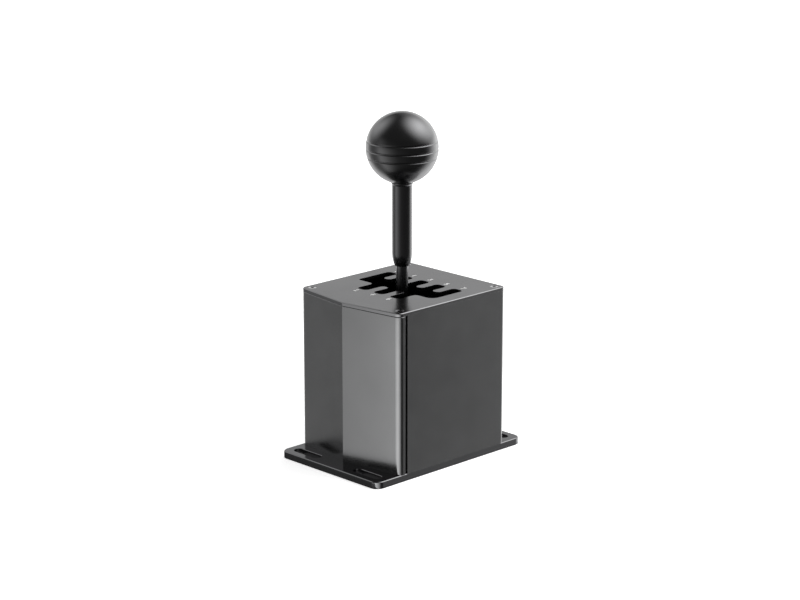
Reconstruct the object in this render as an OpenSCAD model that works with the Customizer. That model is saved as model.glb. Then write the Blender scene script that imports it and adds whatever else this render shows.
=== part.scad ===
// Sim racing gear shifter: a ball-topped lever on a two-axis rocker, moving in a
// gate of seven gears and reverse, in a metal housing on a slotted base plate.
// X runs across the shifter, Y from the ridged front face to the rear, Z up.
// The origin lies on the table, below the lever's axis.

/* [Housing] */
// Width of the housing and of the base plate
body_w = 97; // [94:1:104]
// Distance from the lever's axis to the housing's front corners
front_reach = 50; // [49.5:0.5:54]
// Distance from the lever's axis to the housing's rear face
rear_reach = 52.5; // [51:0.5:56]
// How far the ridge of the front face stands out past its corners
prow = 6.8; // [3:0.1:8]
// Height of the housing walls, from the base plate to the gate plate
wall_h = 111; // [106:0.2:122]
// Wall thickness of the front cover and the rear shell
wall = 2.5; // [2:0.1:3]
// Radius of the front vertical edges
front_r = 4; // [2:0.5:5]
// Radius of the rear vertical edges
rear_r = 3; // [1:0.5:5]
// Length of the flat side return of the front cover, from the front corner
front_return = 5.6; // [5:0.1:6]
// Width of the dark joint between the front cover and the rear shell
joint_gap = 2; // [1:0.1:2.5]
// Size of the screw bosses in the corners, from the outer faces
boss = 9; // [8.5:0.1:10]
// Distance of the corner screws from the outer faces
screw_inset = 5.5; // [5.2:0.1:6]

/* [Base plate] */
// How far the base plate stands out behind the housing
flange_l = 18.5; // [18:0.5:28.5]
// Thickness of the base plate
base_t = 5; // [4:0.1:6]
// Radius of the base plate's corners
base_r = 6; // [2:0.5:8]
// Chamfer on the visible edges of the plates and the front cover
edge_chamfer = 0.5; // [0.2:0.1:0.8]
// Distance of each mounting slot's outer end from the side of the base plate
slot_side = 6; // [3:0.5:8]
// Distance of each mounting slot's middle from the end of the base plate
slot_edge = 9; // [8:0.5:9.5]
// Length of a mounting slot, end to end
slot_l = 25; // [12:1:30]
// Width of a mounting slot, for M6 bolts
slot_w = 7; // [6:0.1:8]
// Chamfer around the top of a mounting slot
slot_chamfer = 0.3; // [0.2:0.1:1]

/* [Gate plate] */
// Thickness of the gate plate
gate_t = 2.5; // [2.2:0.1:3.5]
// Distance between neighbouring gear lanes
lane_pitch = 16; // [15.6:0.1:16.5]
// Width of a gear lane
lane_w = 9.6; // [9.4:0.1:10.4]
// Width of the neutral channel, front to rear
channel_w = 15; // [13:0.5:18]
// Length of the forward lanes, from the lever's axis
forward_lane = 23; // [23:0.5:28]
// Length of the rearward lanes, from the lever's axis
rearward_lane = 24; // [22.5:0.5:28]
// Radius in the corners of each lane's end
lane_end_r = 3.5; // [1:0.1:4.5]
// Radius on the tips of the lands between the lanes
land_r = 3; // [0.5:0.1:3.1]
// Radius in the channel's corner beside the reverse lane
reverse_corner_r = 3; // [1:0.5:6]
// Radius in the channel's corner beside the seventh gear's lane
seventh_corner_r = 6; // [1:0.5:6]

/* [Lever and knob] */
// Diameter of the lever rod
rod_d = 8.4; // [7.6:0.1:8.6]
// Diameter of the sleeve below the knob
sleeve_d = 14; // [12:0.5:18]
// Diameter of the sleeve's lower end
sleeve_tip_d = 10; // [9.6:0.1:11]
// Length of the sleeve, its curved lower end included
sleeve_l = 57; // [30:0.5:62]
// Length of the sleeve's curved lower end
sleeve_nose = 9.3; // [6:0.1:20]
// Height of the knob's centre above the gate plate
knob_rise = 98.2; // [96:0.2:130]
// Diameter of the ball knob
knob_d = 50; // [44:1:56]
// Width of the grooves around the knob
groove_w = 0.9; // [0.4:0.1:1.4]
// Depth of the grooves around the knob
groove_depth = 0.6; // [0.2:0.1:1]
// Distance between neighbouring grooves
groove_pitch = 5.75; // [3:0.25:7]
// Height of the middle groove above the knob's centre
groove_mid = -0.7; // [-3:0.1:3]
// Thickness of the collar between sleeve and knob
collar_t = 1.6; // [0.8:0.1:3]
// Diameter of the threaded insert in the knob
insert_d = 13; // [11:0.5:16]
// Length of the threaded insert in the knob
insert_l = 18; // [10:1:26]

/* [Rocker and pivots] */
// Height of both pivot axes above the base plate
pivot_rise = 31.5; // [31.3:0.1:34]
// Tilt of the lever from neutral to a gear, degrees
shift_deg = 11; // [10:0.25:12.25]
// Diameter of the rocker pins and the cross pin
pin_d = 8; // [7:0.1:8.5]
// Width of the rocker frame, across
rocker_w = 40; // [38:0.5:42]
// Length of the rocker frame, front to rear
rocker_l = 60.4; // [60:0.1:62]
// Height of the rocker frame
rocker_h = 14; // [13:0.5:15]
// Thickness of the rocker frame's side walls
rocker_side = 6; // [5:0.5:7]
// Thickness of the rocker frame's end walls
rocker_end = 7; // [6:0.5:7.5]
// Distance of each centring spring from the lever axis
spring_x = 33; // [32:0.5:34]
// Width of the rocker's spring wings, front to rear
wing_l = 18; // [14:1:22]
// Thickness of the rocker's spring wings
wing_t = 2.5; // [2:0.1:2.7]
// Thickness of the two bearing brackets
bracket_t = 7; // [6.5:0.1:7.5]
// Width of a bearing bracket at the base plate
bracket_w = 48; // [44:1:54]
// Radius of a bearing bracket's head, around the pivot
bracket_head_r = 12; // [10:0.5:13]
// Distance of the bracket screws from the lever axis, across
bracket_screw_x = 16; // [14:0.5:17]
// Outer diameter of the bracket bushes
bush_d = 12; // [11:0.5:13]
// Outer diameter of the cross pin's bushes
cross_bush_d = 11; // [10:0.5:11.5]
// Thickness of the flanges on the bushes
flange_t = 1.5; // [1:0.1:2]

/* [Detent] */
// Distance from the pivot to the tip of the detent ball
detent_reach = 22; // [21.5:0.1:22.2]
// Diameter of the detent ball
ball_d = 6; // [5:0.25:7]
// Depth of the gear notches in the detent cradle
notch_depth = 1.2; // [0.4:0.1:1.6]
// Radius of the gear notches
notch_r = 3.6; // [3:0.1:5]
// Thickness of the cradle below the detent track
cradle_t = 6; // [4:0.1:6.5]
// Width of the detent cradle, across
cradle_w = 20; // [18:0.5:21]
// Outer diameter of the detent tube
tube_d = 12; // [10:0.5:13]

/* [Springs, boards and sensors] */
// Outer diameter of the centring springs
spring_d = 11; // [10:0.5:13]
// Wire diameter of the centring springs
spring_wire = 1.5; // [1:0.1:1.8]
// Thickness of the circuit boards
board_t = 1.6; // [1.2:0.2:2]
// Width of the main circuit board
board_w = 48; // [40:1:60]
// Height of the main circuit board
board_h = 30; // [24:1:36]
// Height of the main board's centre above the base plate
board_rise = 72; // [68:1:80]
// Length of the spacers behind the main board
spacer_l = 2.4; // [1.6:0.2:3]
// Width of the data socket
socket_w = 9; // [8:0.5:12]
// Height of the data socket
socket_h = 3.2; // [2.6:0.1:3.6]
// Diameter of the sensor magnets
magnet_d = 6; // [4:0.5:7]
// Thickness of the sensor magnets
magnet_t = 2.5; // [1.5:0.1:3]
// Gap between a magnet and its sensor board
magnet_gap = 1; // [0.6:0.1:1.2]

/* [Screws] */
// Diameter of the gate plate's screws
gate_screw_d = 3; // [2.5:0.1:3.5]
// Length of the gate plate's screws
gate_screw_l = 10; // [8:1:16]
// Diameter of the base plate's screws
base_screw_d = 4; // [3:0.1:4.4]
// Length of the base plate's screws
base_screw_l = 12; // [10:0.5:12.5]

/* [Fits] */
// Radial clearance of a pin that turns in a bush
running_fit = 0.05; // [0.02:0.01:0.1]
// Radial clearance of a piece that is fixed in its seat
seat_fit = 0.02; // [0.01:0.01:0.05]
// Gap between faces that slide past one another
side_clear = 0.3; // [0.2:0.05:0.4]

/* [Hidden] */
$fn = 96;
over = 0.2;
half_w = body_w / 2;
base_l = 2 * (rear_reach + flange_l);
slot_x = half_w - slot_side - slot_l / 2;
slot_y = base_l / 2 - slot_edge;
gate_z = base_t + wall_h;
top_z = gate_z + gate_t;
pivot_z = base_t + pivot_rise;
cover_back = -front_reach + front_return;
shell_front = cover_back + joint_gap;
screw_x = half_w - screw_inset;
front_screw_y = screw_inset - front_reach;
rear_screw_y = rear_reach - screw_inset;
skin_y = wall / cos(atan(prow / half_w));
lane_deg = atan(lane_pitch / (gate_z + gate_t / 2 - pivot_z));
screw_sink = 0.2;
hex_share = 0.6;
outer_lane = 2;
rear_lane = 1;
sharp = 0;

pin_r = pin_d / 2;
bracket_y = rocker_l / 2 + side_clear + flange_t;
bracket_back = bracket_y + bracket_t;
pin_out = 0.5;
bush_flange = 2;
bush_flange_r = bush_d / 2 + bush_flange;
bracket_window_r = 6;
bracket_window_z = 10;
inner_x = rocker_w / 2 - rocker_side;
inner_y = rocker_l / 2 - rocker_end;
cross_flange = 1.2;
cross_flange_r = min(cross_bush_d / 2 + cross_flange, rocker_h / 2);
rocker_r = 4;
rocker_bottom = pivot_z - rocker_h / 2;
spring_rim = 1.5;
wing_out = spring_x + spring_d / 2 + spring_rim;
wing_r = 4;
cross_pin_out = 1;
cross_half = rocker_w / 2 + cross_pin_out;

hub_half = inner_x - flange_t - side_clear;
hub_r = 11;
hub_neck = 16;
hub_rise = 18;
hub_top = pivot_z + hub_rise;
hub_foot = 14;
hub_bottom = pivot_z - hub_r;
stud_relief = 0.6;
stud_d = rod_d - stud_relief;
stud_gap = 2;
stud_z = pivot_z + pin_r + stud_gap;
nut_h = 5;
nut_across = 13;

track_r = detent_reach + side_clear;
cradle_relief = 0.4;
cradle_l = rocker_l - cradle_relief;
cradle_bottom = pivot_z - track_r - cradle_t;
cradle_r = 8;
cradle_screw_d = 2.5;
cradle_screw_head = 4.6;
cradle_screw_inset = 3.4;
cradle_screw_x = cradle_w / 2 - cradle_screw_inset;
cradle_screw_y = rocker_l / 2 - rocker_end / 2;
cradle_head_drop = 10;
cradle_head_z = rocker_bottom - cradle_head_drop;
cradle_head_h = 2.4;
cradle_screw_grip = 6;
cradle_screw_top = rocker_bottom + cradle_screw_grip;
ball_z = pivot_z - detent_reach + ball_d / 2;
tube_lift = 0.6;
tube_bottom = ball_z + tube_lift;
tube_stub_d = 9;
tube_gap = 1.5;
tube_top = pivot_z - pin_r - tube_gap;
tube_floor = 1;
detent_spring_wire = 0.8;

knob_z = top_z + knob_rise;
knob_r = knob_d / 2;
knob_base = knob_z - sqrt(knob_r * knob_r - sleeve_d * sleeve_d / 4);
sleeve_top = knob_base - collar_t;
sleeve_bottom = sleeve_top - sleeve_l;
nose_r = (sleeve_d - sleeve_tip_d) / 2;
nose_arc = (nose_r * nose_r + sleeve_nose * sleeve_nose) / (2 * nose_r);
insert_floor = 2;
rod_top = knob_base + insert_l - insert_floor;
collar_lip = 0.6;
insert_groove_w = 2;
insert_groove_depth = 0.8;

seat_r = spring_d / 2 + spring_rim;
seat_t = 2;
seat_pin_h = 6;
spring_inner_r = spring_d / 2 - spring_wire;
guide_clear = 0.4;
spring_bottom = base_t + seat_t;
boss_h = 3;

lane_magnet_y = bracket_back + pin_out;
lane_board_y = lane_magnet_y + magnet_t + magnet_gap;
lane_board_w = 28;
lane_board_h = 16;
lane_post_x = 9.4;
lane_post_r = 2.4;
shift_board_x = cross_half + magnet_t + magnet_gap;
shift_board_l = 16;
shift_board_over = 1;
shift_board_top = pivot_z + rocker_h / 2 + shift_board_over;
wing_top = rocker_bottom + wing_t;
board_z = base_t + board_rise;
board_back = rear_reach - wall - spacer_l;
board_front = board_back - board_t;
board_screw_inset = 3.5;
board_screw_x = board_w / 2 - board_screw_inset;
board_screw_z = board_h / 2 - board_screw_inset;
board_screw_d = 2;
board_screw_head = 3.8;
board_screw_head_h = 1.3;
board_screw_l = 6;
spacer_d = 5;
socket_out = 0.2;
socket_gap = 0.2;
socket_shell = 0.4;
socket_floor = 1;
chip_w = 8;
chip_t = 1.2;
ribbon_w = 8;
ribbon_t = 0.4;
ribbon_lap = 4;

metal = [0.23, 0.24, 0.25];
plate_metal = [0.33, 0.34, 0.35];
lever_black = [0.09, 0.09, 0.1];
steel = [0.62, 0.63, 0.65];
bronze = [0.65, 0.5, 0.28];
board_green = [0.08, 0.3, 0.18];

// Outlines are lists of [x, y, corner radius], turning left all the way round
body_outline = [
  [half_w, rear_reach, rear_r],
  [-half_w, rear_reach, rear_r],
  [-half_w, -front_reach, front_r],
  [0, -front_reach - prow, sharp],
  [half_w, -front_reach, front_r]
];
room_outline = [
  [half_w - wall, rear_reach - wall, max(rear_r - wall, sharp)],
  [wall - half_w, rear_reach - wall, max(rear_r - wall, sharp)],
  [wall - half_w, prow_y(half_w - wall) + skin_y, max(front_r - wall, sharp)],
  [0, prow_y(0) + skin_y, sharp],
  [half_w - wall, prow_y(half_w - wall) + skin_y, max(front_r - wall, sharp)]
];
base_outline = box_outline(body_w, base_l, base_r);

// Y of the front face at a distance x from the ridge
function prow_y(x) = -front_reach - prow * (1 - abs(x) / half_w);

// A rectangle's outline with four equal corner radii
function box_outline(w, l, r) =
  [[w / 2, l / 2, r], [-w / 2, l / 2, r], [-w / 2, -l / 2, r], [w / 2, -l / 2, r]];

function unit(v) = v / norm(v);
function spot(p, i) = [p[i][0], p[i][1]];
function back_way(p, i) = unit(spot(p, (i + len(p) - 1) % len(p)) - spot(p, i));
function next_way(p, i) = unit(spot(p, (i + 1) % len(p)) - spot(p, i));
function half_angle(p, i) = acos(back_way(p, i) * next_way(p, i)) / 2;
function turns_left(p, i) = cross(next_way(p, i), back_way(p, i)) > 0;
function lead(p, i) = p[i][2] > 0 ? p[i][2] / tan(half_angle(p, i)) : 0;
function arc_start(p, i) = spot(p, i) + back_way(p, i) * lead(p, i);
function arc_end(p, i) = spot(p, i) + next_way(p, i) * lead(p, i);
function arc_centre(p, i) =
  spot(p, i) + unit(back_way(p, i) + next_way(p, i)) * p[i][2] / sin(half_angle(p, i));

// Discs in the rounded corners that turn left, or in those that turn right
module corner_discs(p, left) {
  for (i = [0 : len(p) - 1])
    if (p[i][2] > 0 && turns_left(p, i) == left)
      translate(arc_centre(p, i)) circle(r = p[i][2]);
}

// A flat outline with rounded corners
module rounded(p) {
  difference() {
    union() {
      polygon([for (i = [0 : len(p) - 1])
        each p[i][2] > 0 ? [arc_start(p, i), arc_end(p, i)] : [spot(p, i)]]);
      corner_discs(p, true);
    }
    corner_discs(p, false);
  }
}

// Cutter that breaks the upper edge of a convex outline's slab at height z
module edge_cutter(p, z, c) {
  for (i = [0 : len(p) - 1]) {
    way = next_way(p, i);
    start = arc_end(p, i) - c * way;
    end = arc_start(p, (i + 1) % len(p)) + c * way;
    translate([start[0], start[1], z])
      rotate([0, 0, atan2(way[1], way[0])])
        rotate([90, 0, 90])
          linear_extrude(norm(end - start))
            polygon([[c + over, over], [-over, -c - over], [-over, over]]);
    if (p[i][2] > 0)
      translate([arc_centre(p, i)[0], arc_centre(p, i)[1], z])
        rotate([0, 0, atan2(back_way(p, i)[0], -back_way(p, i)[1])])
          rotate_extrude(angle = 180 - 2 * half_angle(p, i))
            polygon([
              [p[i][2] - c - over, over],
              [p[i][2] + over, -c - over],
              [p[i][2] + over, over]
            ]);
  }
}

// The part of a shape that lies between two Y values
module between_y(y0, y1) {
  intersection() {
    children();
    translate([-body_w, y0, -over])
      cube([2 * body_w, y1 - y0, 2 * top_z]);
  }
}

// Copies to the four places at plus and minus x and y
module four_places(x, y) {
  for (sx = [-1, 1], sy = [-1, 1])
    translate([sx * x, sy * y, 0]) children();
}

// Copies to the screws' places in the four corners of the housing
module corner_places() {
  for (s = [-1, 1], y = [front_screw_y, rear_screw_y])
    translate([s * screw_x, y, 0]) children();
}

// Flat-headed screw, head face at z = 0 and shank upwards
module flat_screw(d, l) {
  difference() {
    rotate_extrude()
      polygon([[0, 0], [d, 0], [d / 2, d / 2], [d / 2, l], [0, l]]);
    translate([0, 0, -over])
      cylinder(d = d * hex_share / cos(30), h = d / 2 + over, $fn = 6);
  }
}

// Hole that the flat-headed screw sits in, open below z = 0
module flat_screw_hole(d, l) {
  rotate_extrude()
    polygon([
      [0, -screw_sink - over],
      [d + seat_fit, -screw_sink - over],
      [d + seat_fit, 0],
      [d / 2 + seat_fit, d / 2],
      [d / 2 + seat_fit, l + screw_sink],
      [0, l + screw_sink]
    ]);
}

// Where the base plate's screws stand
module base_screw_places() {
  translate([0, 0, screw_sink]) {
    corner_places() children();
    four_places(bracket_screw_x, bracket_y + bracket_t / 2) children();
    for (s = [-1, 1])
      translate([s * spring_x, 0, 0]) children();
  }
}

// Where the gate plate's screws stand, heads up
module gate_screw_places() {
  translate([0, 0, top_z - screw_sink])
    corner_places()
      mirror([0, 0, 1]) children();
}

module base_screw_holes() {
  base_screw_places() flat_screw_hole(base_screw_d, base_screw_l);
}

module gate_screw_holes() {
  gate_screw_places() flat_screw_hole(gate_screw_d, gate_screw_l);
}

// A slot along X through a plate that lies on z = 0, chamfered on top
module slot_cutter(l, w, t, c) {
  run = l - w;
  for (s = [-1, 1])
    translate([s * run / 2, 0, 0]) {
      translate([0, 0, -over]) cylinder(d = w, h = t + 2 * over);
      translate([0, 0, t - c])
        cylinder(d1 = w, d2 = w + 2 * (c + over), h = c + over);
    }
  translate([-run / 2, 0, 0])
    rotate([90, 0, 90])
      linear_extrude(run)
        polygon([
          [-w / 2, -over],
          [w / 2, -over],
          [w / 2, t - c],
          [w / 2 + c + over, t + over],
          [-w / 2 - c - over, t + over],
          [-w / 2, t - c]
        ]);
}

module base_plate() {
  color(metal)
    difference() {
      linear_extrude(base_t) rounded(base_outline);
      four_places(slot_x, slot_y)
        slot_cutter(slot_l, slot_w, base_t, slot_chamfer);
      between_y(-base_l, shell_front)
        edge_cutter(base_outline, base_t, edge_chamfer);
      between_y(rear_reach - rear_r, base_l)
        edge_cutter(base_outline, base_t, edge_chamfer);
      base_screw_holes();
    }
}

// The wall of the housing between two Y values, with its corner bosses
module wall_profile(y0, y1, boss_y) {
  intersection() {
    difference() {
      rounded(body_outline);
      rounded(room_outline);
    }
    translate([-body_w, y0]) square([2 * body_w, y1 - y0]);
  }
  intersection() {
    rounded(body_outline);
    for (s = [-1, 1])
      translate([s * (half_w - (boss + wall) / 2), boss_y])
        square([boss - wall, 2 * boss], center = true);
  }
}

module front_cover() {
  color(metal)
    difference() {
      translate([0, 0, base_t])
        linear_extrude(wall_h)
          wall_profile(-base_l, cover_back, -front_reach);
      between_y(-base_l, cover_back)
        edge_cutter(body_outline, gate_z, edge_chamfer);
      base_screw_holes();
      gate_screw_holes();
    }
}

module rear_shell() {
  color(metal)
    difference() {
      translate([0, 0, base_t])
        linear_extrude(wall_h)
          wall_profile(shell_front, base_l, rear_reach);
      translate([0, rear_reach, board_z])
        rotate([90, 0, 0])
          linear_extrude(4 * wall, center = true)
            rounded(box_outline(
              socket_w + 2 * socket_gap,
              socket_h + 2 * socket_gap,
              socket_h / 2
            ));
      board_screw_places() board_screw_hole();
      base_screw_holes();
      gate_screw_holes();
    }
}

// Outline of the lanes from number i to the last one, reach is signed
function lane_ends(i, last, reach) =
  let (
    way = sign(reach),
    near = i * lane_pitch + way * lane_w / 2,
    far = i * lane_pitch - way * lane_w / 2,
    next = (i - way) * lane_pitch + way * lane_w / 2,
    root = way * channel_w / 2
  )
  concat(
    [[near, reach, lane_end_r], [far, reach, lane_end_r]],
    i == last
      ? []
      : concat(
          [[far, root, land_r], [next, root, land_r]],
          lane_ends(i - way, last, reach)
        )
  );

// The whole opening that the lever rod moves in
module gate_opening() {
  end_x = outer_lane * lane_pitch + lane_w / 2;
  rear_x = rear_lane * lane_pitch + lane_w / 2;
  rounded(concat(
    [[end_x, -channel_w / 2, seventh_corner_r]],
    lane_ends(outer_lane, -outer_lane, forward_lane),
    [[-end_x, -channel_w / 2, reverse_corner_r], [-rear_x, -channel_w / 2, land_r]],
    lane_ends(-rear_lane, rear_lane, -rearward_lane),
    [[rear_x, -channel_w / 2, land_r]]
  ));
}

module gate_plate() {
  color(plate_metal)
    difference() {
      translate([0, 0, gate_z])
        linear_extrude(gate_t) rounded(body_outline);
      translate([0, 0, gate_z - over])
        linear_extrude(gate_t + 2 * over) gate_opening();
      edge_cutter(body_outline, top_z, edge_chamfer);
      gate_screw_holes();
    }
}

module gate_screws() {
  color(steel)
    gate_screw_places() flat_screw(gate_screw_d, gate_screw_l);
}

module base_screws() {
  color(steel)
    base_screw_places() flat_screw(base_screw_d, base_screw_l);
}

// Bracket outline seen from the front, foot on the X axis
module bracket_profile() {
  reach = norm([bracket_w / 2, pivot_rise]);
  turn = acos(bracket_head_r / reach) - atan2(pivot_rise, bracket_w / 2);
  touch = [bracket_head_r * cos(turn), pivot_rise + bracket_head_r * sin(turn)];
  difference() {
    union() {
      translate([0, pivot_rise]) circle(r = bracket_head_r);
      polygon([
        [-bracket_w / 2, 0],
        [bracket_w / 2, 0],
        touch,
        [-touch[0], touch[1]]
      ]);
    }
    translate([0, pivot_rise]) circle(r = bush_d / 2 + seat_fit);
    translate([0, bracket_window_z]) circle(r = bracket_window_r);
  }
}

// The front bracket; the rear one is its mirror image with sensor posts
module bracket_plate() {
  translate([0, -bracket_y, base_t])
    rotate([90, 0, 0])
      linear_extrude(bracket_t) bracket_profile();
}

module front_bracket() {
  color(steel)
    difference() {
      bracket_plate();
      base_screw_holes();
    }
}

module rear_bracket() {
  color(steel)
    difference() {
      union() {
        mirror([0, 1, 0]) bracket_plate();
        for (s = [-1, 1])
          translate([s * lane_post_x, bracket_back - over, pivot_z])
            rotate([-90, 0, 0])
              cylinder(r = lane_post_r, h = lane_board_y - bracket_back + over);
      }
      base_screw_holes();
      lane_screw_places() board_screw_hole();
    }
}

// A flanged bush along Z, flange below z = 0
module flanged_bush(d, flange_r, l) {
  difference() {
    union() {
      cylinder(d = d, h = l);
      translate([0, 0, -flange_t]) cylinder(r = flange_r, h = flange_t);
    }
    translate([0, 0, -flange_t - over])
      cylinder(r = pin_r + running_fit, h = l + flange_t + 2 * over);
  }
}

module bracket_bushes() {
  color(bronze)
    for (s = [0, 180])
      rotate([0, 0, s])
        translate([0, bracket_y, pivot_z])
          rotate([-90, 0, 0])
            flanged_bush(bush_d, bush_flange_r, bracket_t);
}

module spring_seats() {
  color(steel)
    difference() {
      for (s = [-1, 1])
        translate([s * spring_x, 0, base_t]) {
          cylinder(r = seat_r, h = seat_t);
          cylinder(r = spring_inner_r - guide_clear, h = seat_t + seat_pin_h);
        }
      base_screw_holes();
    }
}

// A closely wound compression spring, drawn as its envelope
module spring_tube(outer_r, wire, z0, z1) {
  translate([0, 0, z0])
    difference() {
      cylinder(r = outer_r, h = z1 - z0);
      translate([0, 0, -over])
        cylinder(r = outer_r - wire, h = z1 - z0 + 2 * over);
    }
}

module left_centring_spring() {
  color(steel)
    translate([-spring_x, 0, 0])
      spring_tube(spring_d / 2, spring_wire, spring_bottom, rocker_bottom);
}

module right_centring_spring() {
  color(steel)
    translate([spring_x, 0, 0])
      spring_tube(spring_d / 2, spring_wire, spring_bottom, rocker_bottom);
}

// Pan-headed board screw, head's underside at z = 0 and shank upwards
module board_screw() {
  cylinder(d = board_screw_d, h = board_screw_l);
  translate([0, 0, -board_screw_head_h])
    cylinder(d = board_screw_head, h = board_screw_head_h);
}

module board_screw_hole() {
  translate([0, 0, -over])
    cylinder(d = board_screw_d + 2 * seat_fit, h = board_screw_l + 2 * over - seat_fit);
}

// Screw places of the main board, from its front face to the rear
module board_screw_places() {
  for (sx = [-1, 1], sz = [-1, 1])
    translate([sx * board_screw_x, board_front, board_z + sz * board_screw_z])
      rotate([-90, 0, 0]) children();
}

// Screw places of the lane sensor board, from its rear face to the front
module lane_screw_places() {
  for (s = [-1, 1])
    translate([s * lane_post_x, lane_board_y + board_t, pivot_z])
      rotate([90, 0, 0]) children();
}

module lane_sensor_board() {
  color(board_green)
    difference() {
      translate([-lane_board_w / 2, lane_board_y, pivot_z - lane_board_h / 2])
        cube([lane_board_w, board_t, lane_board_h]);
      lane_screw_places() board_screw_hole();
    }
}

module main_board() {
  color(board_green)
    difference() {
      union() {
        translate([-board_w / 2, board_front, board_z - board_h / 2])
          cube([board_w, board_t, board_h]);
        translate([-chip_w / 2, board_front - chip_t, board_z - chip_w / 2])
          cube([chip_w, chip_t + over, chip_w]);
      }
      board_screw_places() board_screw_hole();
    }
}

module board_spacers() {
  color(bronze)
    difference() {
      board_screw_places()
        translate([0, 0, board_t]) cylinder(d = spacer_d, h = spacer_l);
      board_screw_places() board_screw_hole();
    }
}

module board_screws() {
  color(steel) {
    board_screw_places() board_screw();
    lane_screw_places() board_screw();
  }
}

module data_socket() {
  depth = rear_reach - socket_out - board_back;
  color(steel)
    translate([0, board_back + depth, board_z])
      rotate([90, 0, 0])
        difference() {
          linear_extrude(depth)
            rounded(box_outline(socket_w, socket_h, socket_h / 2 - socket_shell));
          translate([0, 0, -over])
            linear_extrude(depth - socket_floor + over)
              rounded(box_outline(
                socket_w - 2 * socket_shell,
                socket_h - 2 * socket_shell,
                socket_h / 2 - 2 * socket_shell
              ));
        }
}

// Flat lead from the back of the lane sensor board to the front of the main board
module sensor_ribbon() {
  low = lane_board_y + board_t;
  low_z = pivot_z + lane_board_h / 2;
  high_z = board_z - board_h / 2;
  color(lever_black)
    translate([-ribbon_w / 2, 0, 0])
      rotate([90, 0, 90])
        linear_extrude(ribbon_w)
          polygon([
            [low, low_z - ribbon_lap],
            [low + ribbon_t, low_z - ribbon_lap],
            [low + ribbon_t, low_z + ribbon_lap],
            [board_front, high_z - ribbon_lap],
            [board_front, high_z + ribbon_lap],
            [board_front - ribbon_t, high_z + ribbon_lap],
            [board_front - ribbon_t, high_z - ribbon_lap],
            [low, low_z + ribbon_lap]
          ]);
}

// The cradle's screws, from the counterbores below up into the rocker frame
module cradle_screw_places() {
  translate([0, 0, cradle_head_z])
    four_places(cradle_screw_x, cradle_screw_y) children();
}

module cradle_screw_holes() {
  cradle_screw_places() {
    translate([0, 0, -over])
      cylinder(
        d = cradle_screw_d + 2 * seat_fit,
        h = cradle_screw_top - cradle_head_z + 2 * over
      );
    translate([0, 0, -pivot_z])
      cylinder(d = cradle_screw_head + 2 * seat_fit, h = pivot_z);
  }
}

// Frame that turns in the brackets and carries the lever's cross pin
module rocker_frame() {
  color(steel)
    difference() {
      union() {
        translate([0, 0, rocker_bottom])
          linear_extrude(rocker_h)
            difference() {
              rounded(box_outline(rocker_w, rocker_l, rocker_r));
              rounded(box_outline(2 * inner_x, 2 * inner_y, rocker_r / 2));
            }
        for (s = [0, 180])
          rotate([0, 0, s]) {
            translate([rocker_w / 2 - over, -wing_l / 2, rocker_bottom])
              cube([wing_out - wing_r - rocker_w / 2 + over, wing_l, wing_t]);
            translate([0, 0, rocker_bottom])
              linear_extrude(wing_t)
                rounded([
                  [wing_out, wing_l / 2, wing_r],
                  [wing_out - 2 * wing_r, wing_l / 2, sharp],
                  [wing_out - 2 * wing_r, -wing_l / 2, sharp],
                  [wing_out, -wing_l / 2, wing_r]
                ]);
            translate([spring_x, 0, rocker_bottom - boss_h])
              cylinder(r = spring_inner_r - guide_clear, h = boss_h + over);
          }
      }
      translate([0, 0, pivot_z]) {
        rotate([90, 0, 0])
          cylinder(r = pin_r + seat_fit, h = 2 * rocker_l, center = true);
        rotate([0, 90, 0])
          cylinder(d = cross_bush_d + 2 * seat_fit, h = 2 * rocker_w, center = true);
      }
      cradle_screw_holes();
    }
}

module rocker_pins() {
  color(steel)
    for (s = [0, 180])
      rotate([0, 0, s])
        translate([0, inner_y, pivot_z])
          rotate([-90, 0, 0])
            cylinder(r = pin_r, h = bracket_back + pin_out - inner_y);
}

module cross_bushes() {
  color(bronze)
    for (s = [0, 180])
      rotate([0, 0, s])
        translate([inner_x, 0, pivot_z])
          rotate([0, 90, 0])
            flanged_bush(cross_bush_d, cross_flange_r, rocker_side);
}

// Cradle whose round track and three notches hold the lever in gear
module detent_cradle() {
  color(steel)
    difference() {
      translate([-cradle_w / 2, 0, 0])
        rotate([90, 0, 90])
          linear_extrude(cradle_w)
            difference() {
              rounded([
                [cradle_l / 2, rocker_bottom, sharp],
                [-cradle_l / 2, rocker_bottom, sharp],
                [-cradle_l / 2, cradle_bottom, cradle_r],
                [cradle_l / 2, cradle_bottom, cradle_r]
              ]);
              translate([0, pivot_z]) {
                circle(r = track_r);
                for (a = [-shift_deg, 0, shift_deg])
                  rotate(a)
                    translate([0, notch_r - notch_depth - track_r]) circle(r = notch_r);
              }
            }
      cradle_screw_holes();
    }
}

module cradle_screws() {
  color(lever_black)
    cradle_screw_places() {
      cylinder(d = cradle_screw_d, h = cradle_screw_top - cradle_head_z);
      translate([0, 0, -cradle_head_h])
        cylinder(d = cradle_screw_head, h = cradle_head_h);
    }
}

module shift_sensor_board() {
  color(board_green)
    translate([shift_board_x, -shift_board_l / 2, wing_top])
      cube([board_t, shift_board_l, shift_board_top - wing_top]);
}

module lane_magnet() {
  color(lever_black)
    translate([0, lane_magnet_y, pivot_z])
      rotate([-90, 0, 0]) cylinder(d = magnet_d, h = magnet_t);
}

// Hub outline seen from the side, pivot at the origin
module hub_profile() {
  circle(r = hub_r);
  translate([-hub_neck / 2, 0]) square([hub_neck, hub_top - pivot_z]);
  translate([-hub_foot / 2, hub_bottom - pivot_z]) square([hub_foot, pivot_z - hub_bottom]);
}

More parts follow.
